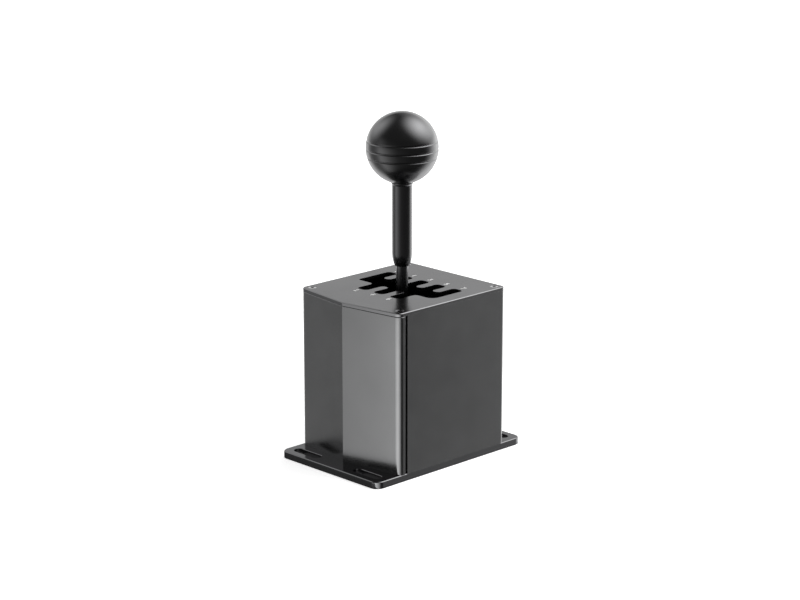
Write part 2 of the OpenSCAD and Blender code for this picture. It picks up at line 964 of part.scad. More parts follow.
module lever_hub() {
  color(steel)
    difference() {
      translate([-hub_half, 0, pivot_z])
        rotate([90, 0, 90])
          linear_extrude(2 * hub_half) hub_profile();
      translate([0, 0, pivot_z])
        rotate([0, 90, 0])
          cylinder(r = pin_r + seat_fit, h = 4 * hub_half, center = true);
      translate([0, 0, stud_z - seat_fit])
        cylinder(d = stud_d + 2 * seat_fit, h = hub_top);
      translate([0, 0, hub_bottom - over])
        cylinder(d = tube_stub_d + 2 * seat_fit, h = tube_top - hub_bottom + over + seat_fit);
      translate([0, -2 * hub_r, pivot_z])
        rotate([-90, 0, 0])
          cylinder(d = base_screw_d + 2 * seat_fit, h = 2 * hub_r);
    }
}

module cross_pin() {
  color(steel)
    translate([-cross_half, 0, pivot_z])
      rotate([0, 90, 0]) cylinder(r = pin_r, h = 2 * cross_half);
}

module hub_set_screw() {
  color(lever_black)
    translate([0, over - hub_r, pivot_z])
      rotate([-90, 0, 0])
        cylinder(d = base_screw_d, h = hub_r - over - pin_r - running_fit);
}

module shift_magnet() {
  color(lever_black)
    translate([cross_half, 0, pivot_z])
      rotate([0, 90, 0]) cylinder(d = magnet_d, h = magnet_t);
}

module lever_rod() {
  color(lever_black) {
    translate([0, 0, stud_z]) cylinder(d = stud_d, h = rod_top - stud_z);
    translate([0, 0, hub_top]) cylinder(d = rod_d, h = rod_top - hub_top);
  }
}

module rod_nut() {
  color(steel)
    difference() {
      translate([0, 0, hub_top])
        cylinder(d = nut_across / cos(30), h = nut_h, $fn = 6);
      translate([0, 0, hub_top - over])
        cylinder(d = rod_d + 2 * seat_fit, h = nut_h + 2 * over);
    }
}

// Tube below the hub that guides the spring-loaded detent ball
module detent_tube() {
  color(steel)
    difference() {
      union() {
        translate([0, 0, tube_bottom]) cylinder(d = tube_d, h = hub_bottom - tube_bottom);
        translate([0, 0, tube_bottom]) cylinder(d = tube_stub_d, h = tube_top - tube_bottom);
      }
      translate([0, 0, tube_bottom - over])
        cylinder(
          r = ball_d / 2 + running_fit,
          h = tube_top - tube_floor - tube_bottom + over
        );
    }
}

module detent_spring() {
  color(steel)
    spring_tube(
      ball_d / 2 - running_fit,
      detent_spring_wire,
      ball_z + ball_d / 2 - over,
      tube_top - tube_floor
    );
}

module detent_ball() {
  color(steel)
    translate([0, 0, ball_z]) sphere(d = ball_d);
}

// Sleeve around the rod, its lower end drawn in by an arc
module lever_sleeve() {
  color(lever_black)
    difference() {
      rotate_extrude() {
        translate([0, sleeve_bottom + sleeve_nose])
          square([sleeve_d / 2, sleeve_l - sleeve_nose]);
        intersection() {
          translate([0, sleeve_bottom]) square([sleeve_d / 2, sleeve_nose]);
          translate([sleeve_d / 2 - nose_arc, sleeve_bottom + sleeve_nose])
            circle(r = nose_arc, $fn = 360);
        }
      }
      translate([0, 0, sleeve_bottom - over])
        cylinder(d = rod_d + 2 * seat_fit, h = sleeve_l + 2 * over);
    }
}

module knob_collar() {
  color(metal)
    difference() {
      translate([0, 0, sleeve_top])
        cylinder(d1 = sleeve_d, d2 = sleeve_d + 2 * collar_lip, h = collar_t);
      translate([0, 0, sleeve_top - over])
        cylinder(d = rod_d + 2 * seat_fit, h = collar_t + 2 * over);
    }
}

module knob_insert() {
  color(bronze)
    difference() {
      translate([0, 0, knob_base]) cylinder(d = insert_d, h = insert_l);
      translate([0, 0, knob_base - over])
        cylinder(d = rod_d + 2 * seat_fit, h = rod_top - knob_base + over + seat_fit);
      translate([0, 0, knob_base + insert_l / 2])
        difference() {
          cylinder(d = 2 * insert_d, h = insert_groove_w, center = true);
          cylinder(d = insert_d - 2 * insert_groove_depth, h = 2 * insert_groove_w, center = true);
        }
    }
}

// A ring that cuts one groove at a height above the knob's centre
module knob_groove(h) {
  surface_r = sqrt(knob_r * knob_r - h * h);
  translate([0, 0, h])
    rotate_extrude()
      polygon([
        [surface_r - groove_depth, -groove_w / 4],
        [surface_r + groove_depth, -groove_w],
        [surface_r + groove_depth, groove_w],
        [surface_r - groove_depth, groove_w / 4]
      ]);
}

module knob() {
  color(lever_black)
    difference() {
      translate([0, 0, knob_z]) sphere(r = knob_r);
      translate([0, 0, knob_z])
        for (i = [-1 : 1])
          knob_groove(groove_mid + i * groove_pitch);
      translate([0, 0, knob_base - knob_r])
        cylinder(r = knob_r, h = knob_r);
      translate([0, 0, knob_base - over])
        cylinder(d = insert_d + 2 * seat_fit, h = insert_l + over + seat_fit);
    }
}

base_plate();
front_cover();
rear_shell();
gate_plate();
gate_screws();
base_screws();
front_bracket();
rear_bracket();
bracket_bushes();
spring_seats();
left_centring_spring();
right_centring_spring();
lane_sensor_board();
main_board();
board_spacers();
board_screws();
data_socket();
sensor_ribbon();
rocker_frame();
rocker_pins();
cross_bushes();
detent_cradle();
cradle_screws();
shift_sensor_board();
lane_magnet();
lever_hub();
cross_pin();
hub_set_screw();
shift_magnet();
lever_rod();
rod_nut();
detent_tube();
detent_spring();
detent_ball();
lever_sleeve();
knob_collar();
knob_insert();
knob();
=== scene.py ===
"""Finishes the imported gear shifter: anodised housing, numbered gate, ball-topped lever.

Everything is in metres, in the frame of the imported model. Pieces that stand for a CAD
node are made from that node's own box or mesh, so they stay where the model puts them.
"""

import math

import bmesh
import bpy
from mathutils import Matrix, Vector


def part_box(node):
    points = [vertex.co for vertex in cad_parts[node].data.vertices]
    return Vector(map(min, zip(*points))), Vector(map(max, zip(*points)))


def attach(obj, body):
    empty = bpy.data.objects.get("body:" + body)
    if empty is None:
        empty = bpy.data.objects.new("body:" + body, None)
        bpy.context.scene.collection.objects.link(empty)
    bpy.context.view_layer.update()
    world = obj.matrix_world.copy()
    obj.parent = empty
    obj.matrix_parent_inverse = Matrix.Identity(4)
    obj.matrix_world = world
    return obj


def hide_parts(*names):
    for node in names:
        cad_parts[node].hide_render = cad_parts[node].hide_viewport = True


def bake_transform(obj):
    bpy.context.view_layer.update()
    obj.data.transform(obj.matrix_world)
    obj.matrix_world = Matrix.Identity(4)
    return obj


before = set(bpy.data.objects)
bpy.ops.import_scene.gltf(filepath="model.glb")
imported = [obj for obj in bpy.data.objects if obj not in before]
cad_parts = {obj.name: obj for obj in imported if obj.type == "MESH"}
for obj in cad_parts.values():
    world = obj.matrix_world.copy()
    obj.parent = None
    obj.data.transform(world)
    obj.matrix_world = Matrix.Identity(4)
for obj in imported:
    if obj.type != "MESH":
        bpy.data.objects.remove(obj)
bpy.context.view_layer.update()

MM = 0.001
SCENE = bpy.context.scene

# Edges of CAD forms that turn by more than this many degrees are eased.
SHARP_EDGE = 13
# Turned edges of screws stay crisp over this many degrees.
SCREW_EDGE = 35
# Radius of the hole through the sleeve and the collar.
ROD_BORE = 4.22 * MM
BOARD_THICKNESS = 1.6 * MM
LANE_PITCH = 16 * MM


# ---------------------------------------------------------------- small tools


def add(tree, kind, settings=None, values=None):
    """A node with its settings, and the values or sockets that feed its inputs."""
    node = tree.nodes.new(kind)
    for key, value in (settings or {}).items():
        setattr(node, key, value)
    for key, value in (values or {}).items():
        if isinstance(value, bpy.types.NodeSocket):
            tree.links.new(value, node.inputs[key])
        else:
            node.inputs[key].default_value = value
    return node


def place(name, mesh, body, stands_for=()):
    """Puts a finished mesh into the scene, riding on its body where it has just one."""
    piece = bpy.data.objects.new(name, mesh)
    SCENE.collection.objects.link(piece)
    if body:
        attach(piece, body)
    if stands_for:
        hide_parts(*stands_for)
    return piece


def settle(helper, name):
    """The plain mesh that an object's modifiers or text make; the helper object goes."""
    bpy.context.view_layer.update()
    graph = bpy.context.evaluated_depsgraph_get()
    mesh = bpy.data.meshes.new_from_object(
        helper.evaluated_get(graph), preserve_all_data_layers=True, depsgraph=graph
    )
    mesh.name = name
    bpy.data.objects.remove(helper)
    return mesh


def soften(mesh, sharp_over):
    """Smooth shading, except across edges sharper than an angle in degrees."""
    mesh.polygons.foreach_set("use_smooth", [True] * len(mesh.polygons))
    mesh.set_sharp_from_angle(angle=math.radians(sharp_over))


# ------------------------------------------------------------------ materials


def new_material(name, metallic, roughness):
    """A material, its tree, its shader and the object's own coordinates."""
    finish = bpy.data.materials.new(name)
    finish.use_nodes = True
    tree = finish.node_tree
    shader = tree.nodes["Principled BSDF"]
    shader.inputs["Metallic"].default_value = metallic
    shader.inputs["Roughness"].default_value = roughness
    where = add(tree, "ShaderNodeTexCoord").outputs["Object"]
    return finish, tree, shader, where


def speckle(tree, where, scale, detail=3.0, stretch=None):
    """Noise over the piece, drawn out along one axis where stretch is given."""
    if stretch:
        where = add(
            tree, "ShaderNodeMapping", None, {"Vector": where, "Scale": stretch}
        ).outputs["Vector"]
    return add(
        tree,
        "ShaderNodeTexNoise",
        None,
        {"Vector": where, "Scale": scale, "Detail": detail},
    ).outputs["Fac"]


def between(tree, amount, low, high):
    """A number that runs from low to high as the noise goes from dark to light."""
    return add(
        tree,
        "ShaderNodeMapRange",
        None,
        {"Value": amount, "From Min": 0.3, "From Max": 0.7, "To Min": low, "To Max": high},
    ).outputs["Result"]


def two_tone(tree, amount, dark, light):
    """A colour that runs from dark to light with the noise."""
    ramp = add(tree, "ShaderNodeValToRGB", None, {"Fac": amount})
    ramp.color_ramp.elements[0].position = 0.32
    ramp.color_ramp.elements[1].position = 0.68
    ramp.color_ramp.elements[0].color = (*dark, 1)
    ramp.color_ramp.elements[1].color = (*light, 1)
    return ramp.outputs["Color"]


def roughen(tree, shader, height, depth, strength=1.0):
    """Relief on the surface, depth in metres."""
    bump = add(
        tree,
        "ShaderNodeBump",
        None,
        {"Height": height, "Distance": depth, "Strength": strength},
    )
    tree.links.new(bump.outputs["Normal"], shader.inputs["Normal"])


def shade(colour, factor):
    """A colour made darker or lighter by a factor."""
    return tuple(c * factor for c in colour)


def anodised(name, colour, roughness, grazing=1.0, blast=2600, depth=2.0e-6):
    """Blasted and anodised aluminium: faint clouds in tone and gloss over a fine grain.

    The dye takes some of the light that metal gives back at a grazing angle.
    """
    finish, tree, shader, where = new_material(name, 1.0, roughness)
    shader.inputs["Specular Tint"].default_value = (grazing, grazing, grazing, 1)
    clouds = speckle(tree, where, 24, 4)
    tone = two_tone(tree, clouds, shade(colour, 0.96), shade(colour, 1.04))
    tree.links.new(tone, shader.inputs["Base Color"])
    gloss = between(
        tree, speckle(tree, where, 70, 5), roughness * 0.9, roughness * 1.1
    )
    tree.links.new(gloss, shader.inputs["Roughness"])
    roughen(tree, shader, speckle(tree, where, blast, 2), depth)
    return finish


def machined(name, colour, roughness, stretch, depth=1.5e-6):
    """Bare metal with the fine lines of a cutter or belt along one axis."""
    finish, tree, shader, where = new_material(name, 1.0, roughness)
    lines = speckle(tree, where, 1.0, 3, stretch)
    tone = two_tone(tree, lines, shade(colour, 0.88), shade(colour, 1.06))
    tree.links.new(tone, shader.inputs["Base Color"])
    gloss = between(tree, lines, roughness * 0.8, roughness * 1.25)
    tree.links.new(gloss, shader.inputs["Roughness"])
    roughen(tree, shader, lines, depth)
    return finish


def bronze_finish():
    """Sintered bronze, porous and a little brown where the oil sits."""
    finish, tree, shader, where = new_material("sintered_bronze", 1.0, 0.34)
    pores = speckle(tree, where, 1900, 2)
    tone = two_tone(tree, pores, (0.22, 0.13, 0.05), (0.6, 0.42, 0.2))
    tree.links.new(tone, shader.inputs["Base Color"])
    tree.links.new(between(tree, pores, 0.5, 0.28), shader.inputs["Roughness"])
    roughen(tree, shader, pores, 8e-6)
    return finish


def board_finish():
    """Green solder mask over copper tracks."""
    finish, tree, shader, where = new_material("solder_mask", 0.0, 0.3)
    tracks = add(
        tree,
        "ShaderNodeTexBrick",
        {"offset": 0.37, "squash": 1.6},
        {
            "Vector": add(
                tree,
                "ShaderNodeMapping",
                None,
                {"Vector": where, "Rotation": (math.pi / 2, 0, math.pi / 4)},
            ).outputs["Vector"],
            "Color1": (0.012, 0.075, 0.04, 1),
            "Color2": (0.014, 0.085, 0.045, 1),
            "Mortar": (0.03, 0.16, 0.08, 1),
            "Scale": 260.0,
            "Mortar Size": 0.035,
        },
    )
    tree.links.new(tracks.outputs["Color"], shader.inputs["Base Color"])
    gloss = between(tree, speckle(tree, where, 300), 0.24, 0.36)
    tree.links.new(gloss, shader.inputs["Roughness"])
    roughen(tree, shader, tracks.outputs["Fac"], 1.5e-5, 0.6)
    return finish


def plastic(name, colour, roughness, grain=1500, depth=4e-6):
    """Moulded plastic with a fine spark-eroded grain."""
    finish, tree, shader, where = new_material(name, 0.0, roughness)
    grains = speckle(tree, where, grain, 2)
    tone = two_tone(tree, grains, shade(colour, 0.85), shade(colour, 1.15))
    tree.links.new(tone, shader.inputs["Base Color"])
    gloss = between(tree, grains, roughness * 0.88, roughness * 1.12)
    tree.links.new(gloss, shader.inputs["Roughness"])
    roughen(tree, shader, grains, depth)
    return finish


def ribbon_finish():
    """Flat lead: a row of conductors that stand up a little under black film."""
    finish, tree, shader, where = new_material("ribbon_film", 0.0, 0.42)
    wires = add(
        tree,
        "ShaderNodeTexWave",
        {"bands_direction": "X"},
        {"Vector": where, "Scale": 300.0, "Distortion": 0.0},
    ).outputs["Fac"]
    tone = two_tone(tree, wires, (0.012, 0.012, 0.013), (0.035, 0.035, 0.037))
    tree.links.new(tone, shader.inputs["Base Color"])
    tree.links.new(between(tree, wires, 0.5, 0.36), shader.inputs["Roughness"])
    roughen(tree, shader, wires, 6e-5)
    return finish


def print_ink():
    """White screen print, a little thin in places."""
    finish, tree, shader, where = new_material("white_print", 0.0, 0.45)
    cover = speckle(tree, where, 1400, 3)
    tone = two_tone(tree, cover, (0.72, 0.72, 0.72), (0.86, 0.86, 0.86))
    tree.links.new(tone, shader.inputs["Base Color"])
    tree.links.new(between(tree, cover, 0.5, 0.4), shader.inputs["Roughness"])
    roughen(tree, shader, cover, 3e-6)
    return finish


HOUSING = anodised("anodised_housing", (0.195, 0.196, 0.198), 0.21)
# The edge copies are darker copies of their materials: painted shade on chamfers and eased
# edges, which dims their highlights.
HOUSING_SHADED_EDGE = anodised("anodised_housing_shaded_edge", (0.14, 0.14, 0.142), 0.2)
GATE = anodised("anodised_gate", (0.2, 0.2, 0.204), 0.19, grazing=0.62)
GATE_SHADED_EDGE = anodised("anodised_gate_shaded_edge", (0.145, 0.145, 0.147), 0.17, grazing=0.62)
BASE = anodised("anodised_base", (0.175, 0.176, 0.18), 0.16, grazing=0.55)
BASE_SHADED_EDGE = anodised("anodised_base_shaded_edge", (0.12, 0.12, 0.122), 0.15, grazing=0.55)
LEVER = anodised("anodised_lever", (0.12, 0.12, 0.122), 0.25, blast=3200)
LEVER_EDGE = anodised("anodised_lever_edge", (0.13, 0.13, 0.132), 0.2)
KNOB = anodised("anodised_knob", (0.115, 0.115, 0.117), 0.23, blast=3000)
FRAME = machined("milled_frame", (0.42, 0.43, 0.45), 0.3, (180, 1600, 180))
# A lighter copy of the milled metal for chamfers and eased edges: a painted highlight on the
# edges.
FRAME_LIT_EDGE = machined("milled_frame_lit_edge", (0.6, 0.61, 0.63), 0.22, (900, 900, 900))
PIN = machined("ground_pin", (0.52, 0.52, 0.54), 0.18, (2400, 2400, 2400), 4e-7)
SPRING = machined("spring_wire", (0.36, 0.36, 0.38), 0.26, (700, 700, 2600), 8e-7)
SCREW = machined("blackened_screw", (0.42, 0.42, 0.43), 0.2, (1800, 1800, 400), 4e-7)
DARK_SCREW = machined("oiled_screw", (0.06, 0.06, 0.063), 0.34, (1800, 1800, 400), 1e-6)
# Near-black paint in the screws' hexagon sockets: painted shade in the recess.
RECESS_SHADE = machined("painted_shade_recess", (0.012, 0.012, 0.013), 0.5, (900, 900, 900), 1e-6)
SOCKET = machined("plated_sheet", (0.55, 0.55, 0.56), 0.24, (300, 300, 2200), 6e-7)
CONTACT = machined("gilt_contact", (0.72, 0.5, 0.2), 0.22, (2000, 400, 2000), 4e-7)
MAGNET = machined("plated_magnet", (0.4, 0.4, 0.41), 0.14, (900, 900, 900), 8e-7)
BRONZE = bronze_finish()
BOARD = board_finish()
BOARD_EDGE = plastic("board_edge", (0.16, 0.14, 0.06), 0.6)
CHIP = plastic("moulded_chip", (0.014, 0.014, 0.015), 0.42)
RIBBON = ribbon_finish()
PRINT = print_ink()


# ----------------------------------------------- pieces from the CAD's meshes


def eased_copy(node, body, finish, edge_colour_and_shade, ease):
    """A CAD node's form with its faces joined up and its sharp edges eased; eased edges and
    chamfers take the edge copy, painted shade on the housing, a painted highlight on milled
    parts, the boards' own edge colour.
    """
    bm = bmesh.new()
    bm.from_mesh(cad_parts[node].data)
    bmesh.ops.remove_doubles(bm, verts=bm.verts, dist=1e-6)
    bmesh.ops.dissolve_limit(
        bm, angle_limit=math.radians(0.2), verts=bm.verts, edges=bm.edges
    )
    bm.verts.index_update()
    mesh = bpy.data.meshes.new(node + "_eased")
    mesh.from_pydata(
        [v.co for v in bm.verts], [], [[v.index for v in f.verts] for f in bm.faces]
    )
    bm.free()
    mesh.materials.append(finish)
    mesh.materials.append(edge_colour_and_shade)
    for polygon in mesh.polygons:
        if 0.3 < abs(polygon.normal.z) < 0.9:  # chamfers take the edge copy too: painted shade on the housing, a painted highlight on the milled parts
            polygon.material_index = 1
    soften(mesh, SHARP_EDGE)
    helper = bpy.data.objects.new(node + "_helper", mesh)
    SCENE.collection.objects.link(helper)
    bevel = helper.modifiers.new("Eased edges", "BEVEL")
    bevel.width = ease
    bevel.segments = 2
    bevel.limit_method = "ANGLE"
    bevel.angle_limit = math.radians(SHARP_EDGE)
    bevel.use_clamp_overlap = False
    bevel.material = 1
    flat = helper.modifiers.new("Flat faces stay flat", "WEIGHTED_NORMAL")
    flat.keep_sharp = False
    flat.weight = 80
    return place(
        node + "_finished", settle(helper, node + "_finished"), body, (node,)
    )


def keep(node, finish):
    """A CAD node whose form is right as it is: it only gets its material."""
    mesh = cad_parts[node].data
    if not mesh.materials:
        mesh.materials.append(finish)
    for index in range(len(mesh.materials)):
        mesh.materials[index] = finish


eased_copy("base_plate", "housing", BASE, BASE_SHADED_EDGE, 0.1 * MM)
eased_copy("front_cover", "housing", HOUSING, HOUSING_SHADED_EDGE, 0.03 * MM)
eased_copy("rear_shell", "housing", HOUSING, HOUSING_SHADED_EDGE, 0.03 * MM)
eased_copy("gate_plate", "housing", GATE, GATE_SHADED_EDGE, 0.1 * MM)

for name in ("front_bracket", "rear_bracket", "spring_seats"):
    eased_copy(name, "housing", FRAME, FRAME_LIT_EDGE, 0.2 * MM)
for name in ("rocker_frame", "detent_cradle"):
    eased_copy(name, "rocker", FRAME, FRAME_LIT_EDGE, 0.2 * MM)
eased_copy("lever_hub", "lever", FRAME, FRAME_LIT_EDGE, 0.2 * MM)
eased_copy("detent_tube", "lever", PIN, FRAME_LIT_EDGE, 0.1 * MM)
eased_copy("main_board", "housing", BOARD, BOARD_EDGE, 0.05 * MM)
eased_copy("lane_sensor_board", "housing", BOARD, BOARD_EDGE, 0.05 * MM)
eased_copy("shift_sensor_board", "rocker", BOARD, BOARD_EDGE, 0.05 * MM)
eased_copy("data_socket", "housing", SOCKET, FRAME_LIT_EDGE, 0.04 * MM)

for name, finish in (
    ("bracket_bushes", BRONZE),
    ("cross_bushes", BRONZE),
    ("board_spacers", BRONZE),
    ("knob_insert", BRONZE),
    ("rocker_pins", PIN),
    ("cross_pin", PIN),
    ("detent_ball", MAGNET),
    ("shift_magnet", MAGNET),
    ("lane_magnet", MAGNET),
    ("sensor_ribbon", RIBBON),
    ("hub_set_screw", DARK_SCREW),
    ("rod_nut", SCREW),
):
    keep(name, finish)


# --------------------------------------------------------------- turned parts


def eased_path(corners, steps=4):
    """Points of a path whose corners (radius, height, ease) are rounded over that length."""
    points = []
    count = len(corners)
    for i, (radius, height, ease) in enumerate(corners):
        here = Vector((radius, height))
        if ease <= 0 or i == 0 or i == count - 1:
            points.append((radius, height))
            continue
        back = (Vector(corners[i - 1][:2]) - here).normalized() * ease
        ahead = (Vector(corners[i + 1][:2]) - here).normalized() * ease
        for step in range(steps + 1):
            t = step / steps
            spot = here + back * (1 - t) ** 2 + ahead * t**2
            points.append((spot.x, spot.y))
    return points


def turned(name, path, finish, closed=False, around=144, sharp_over=40):
    """A closed mesh turned about Z from (radius, height) points; a closed path makes a ring."""
    bm = bmesh.new()
    rings = []
    for radius, height in path:
        if radius < 1e-7:
            rings.append([bm.verts.new((0, 0, height))])
            continue
        rings.append(
            [
                bm.verts.new(
                    (
                        radius * math.cos(math.tau * i / around),
                        radius * math.sin(math.tau * i / around),
                        height,
                    )
                )
                for i in range(around)
            ]
        )
    pairs = list(zip(rings, rings[1:]))
    if closed:
        pairs.append((rings[-1], rings[0]))
    for low, high in pairs:
        for i in range(around):
            j = (i + 1) % around
            loop = [
                low[i % len(low)],
                low[j % len(low)],
                high[j % len(high)],
                high[i % len(high)],
            ]
            corners = list(dict.fromkeys(loop))
            if len(corners) > 2:
                bm.faces.new(corners)
    bmesh.ops.recalc_face_normals(bm, faces=bm.faces)
    mesh = bpy.data.meshes.new(name)
    bm.to_mesh(mesh)
    bm.free()
    mesh.materials.append(finish)
    soften(mesh, sharp_over)
    return mesh


def make_knob():
    """The ball, flat where it meets the collar, with three grooves whose lips are eased."""
    low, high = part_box("knob")
    radius = (high.x - low.x) / 2
    middle = high.z - radius
    groove_half, floor_half, groove_depth = 0.72 * MM, 0.2 * MM, 0.55 * MM
    grooves = [(-0.7 + step * 5.75) * MM for step in (-1, 0, 1)]
    foot = math.sqrt(radius**2 - (middle - low.z) ** 2)
    start = -math.asin((middle - low.z) / radius)
    corners = []
    for step in range(1, 121):
        angle = start + (math.pi / 2 - start) * step / 120
        height = radius * math.sin(angle)
        if all(abs(height - g) > groove_half + 0.2 * MM for g in grooves):
            corners.append((radius * math.cos(angle), middle + height, 0))
    for g in grooves:
        for side in (-1, 1):
            lip = g + side * groove_half
            lip_radius = math.sqrt(radius**2 - lip**2)
            floor_radius = math.sqrt(radius**2 - g**2) - groove_depth
            corners.append((lip_radius, middle + lip, 0.14 * MM))
            corners.append((floor_radius, middle + g + side * floor_half, 0.1 * MM))
    corners.sort(key=lambda corner: corner[1])
    corners[-1] = (0, high.z, 0)
    path = eased_path([(0, low.z, 0), (foot, low.z, 0.15 * MM), *corners])
    mesh = turned("ball_knob", path, KNOB, around=192, sharp_over=60)
    place("ball_knob", mesh, "lever", ("knob",))


def make_sleeve():
    """The sleeve, drawn in at its lower end by an arc, over the rod."""
    low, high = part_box("lever_sleeve")
    radius, tip, nose = high.x, 5 * MM, 9.3 * MM
    drawn = radius - tip
    arc = (drawn**2 + nose**2) / (2 * drawn)
    outer = []
    for step in range(17):
        height = nose * step / 16
        outer.append(
            (
                radius - arc + math.sqrt(arc**2 - (nose - height) ** 2),
                low.z + height,
                0.2 * MM if step == 0 else 0,
            )
        )
    path = eased_path(
        [
            (ROD_BORE, high.z, 0),
            (ROD_BORE, low.z, 0.2 * MM),
            *outer,
            (radius, high.z, 0.3 * MM),
            (ROD_BORE, high.z, 0),
        ]
    )
    mesh = turned("turned_sleeve", path[:-1], LEVER, closed=True)
    place("turned_sleeve", mesh, "lever", ("lever_sleeve",))


def make_rod():
    """The lever rod with the thread that the nut and the hub take."""
    low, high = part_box("lever_rod")
    radius = high.x
    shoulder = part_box("rod_nut")[0].z
    nut_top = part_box("rod_nut")[1].z
    pitch, thread_depth = 1.0 * MM, 0.28 * MM
    foot_radius = radius - 0.3 * MM
    corners = [(0, low.z, 0), (radius - 0.9 * MM, low.z, 0.1 * MM)]
    height = low.z + pitch
    while height < shoulder - pitch:
        corners.append((foot_radius - thread_depth, height, 0))
        corners.append((foot_radius, height + pitch / 2, 0))
        height += pitch
    height = shoulder + pitch
    while height < nut_top + 8 * MM:
        corners.append((radius - thread_depth, height, 0))
        corners.append((radius, height + pitch / 2, 0))
        height += pitch
    corners += [
        (radius - thread_depth, height, 0),
        (radius, height + pitch, 0.2 * MM),
        (radius, high.z, 0.3 * MM),
        (0, high.z, 0),
    ]
    mesh = turned("threaded_rod", eased_path(corners), LEVER, around=96, sharp_over=50)
    place("threaded_rod", mesh, "lever", ("lever_rod",))


def make_collar():
    """The bright-edged ring between sleeve and knob."""
    low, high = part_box("knob_collar")
    path = eased_path(
        [
            (ROD_BORE, high.z, 0),
            (ROD_BORE, low.z, 0.1 * MM),
            (high.x - 0.6 * MM, low.z, 0.1 * MM),
            (high.x, high.z - 0.5 * MM, 0.2 * MM),
            (high.x, high.z, 0.15 * MM),
            (ROD_BORE, high.z, 0),
        ]
    )
    mesh = turned("turned_collar", path[:-1], LEVER_EDGE, closed=True)
    place("turned_collar", mesh, "lever", ("knob_collar",))


make_knob()
make_sleeve()
make_rod()
make_collar()


# ------------------------------------------------ repeated parts, node by node


def new_tree(name, inputs):
    """A Geometry Nodes tree that takes points and named sizes and gives a mesh."""
    tree = bpy.data.node_groups.new(name, "GeometryNodeTree")
    face = tree.interface
    face.new_socket("Points", in_out="INPUT", socket_type="NodeSocketGeometry")
    for label, kind in inputs:
        face.new_socket(label, in_out="INPUT", socket_type="NodeSocket" + kind)
    face.new_socket("Parts", in_out="OUTPUT", socket_type="NodeSocketGeometry")
    return tree, add(tree, "NodeGroupInput").outputs


def calculate(tree, operation, first, second):
    """One sum on two numbers inside a tree."""
    node = add(tree, "ShaderNodeMath", {"operation": operation}, {0: first, 1: second})
    return node.outputs[0]


def shift(tree, part, height):
    """A part of a tree moved up by a height."""
    up = add(tree, "ShaderNodeCombineXYZ", None, {"Z": height}).outputs[0]
    moved = add(
        tree, "GeometryNodeTransform", None, {"Geometry": part, "Translation": up}
    )
    return moved.outputs["Geometry"]


def finish_tree(tree, given, part, smooth=True, marked=None):
    """Sets a part on every point, makes it real and gives it its material.

    Faces that carry a marking attribute take the near-black recess material, painted shade in
    the recess.
    """
    spread = add(
        tree,
        "GeometryNodeInstanceOnPoints",
        None,
        {"Points": given["Points"], "Instance": part, "Rotation": given["Turn"]},
    )
    real = add(
        tree,
        "GeometryNodeRealizeInstances",
        None,
        {"Geometry": spread.outputs["Instances"]},
    )
    shaded = add(
        tree,
        "GeometryNodeSetShadeSmooth",
        None,
        {"Geometry": real.outputs["Geometry"], "Shade Smooth": smooth},
    )
    painted = add(
        tree,
        "GeometryNodeSetMaterial",
        None,
        {"Geometry": shaded.outputs["Geometry"], "Material": given["Material"]},
    )
    if marked:
        recess = add(
            tree,
            "GeometryNodeInputNamedAttribute",
            {"data_type": "BOOLEAN"},
            {"Name": marked},
        )
        painted = add(
            tree,
            "GeometryNodeSetMaterial",
            None,
            {
                "Geometry": painted.outputs["Geometry"],
                "Selection": recess.outputs["Attribute"],
                "Material": given["Socket Shade Material"],
            },
        )
    add(tree, "NodeGroupOutput", None, {"Parts": painted.outputs["Geometry"]})
    return tree


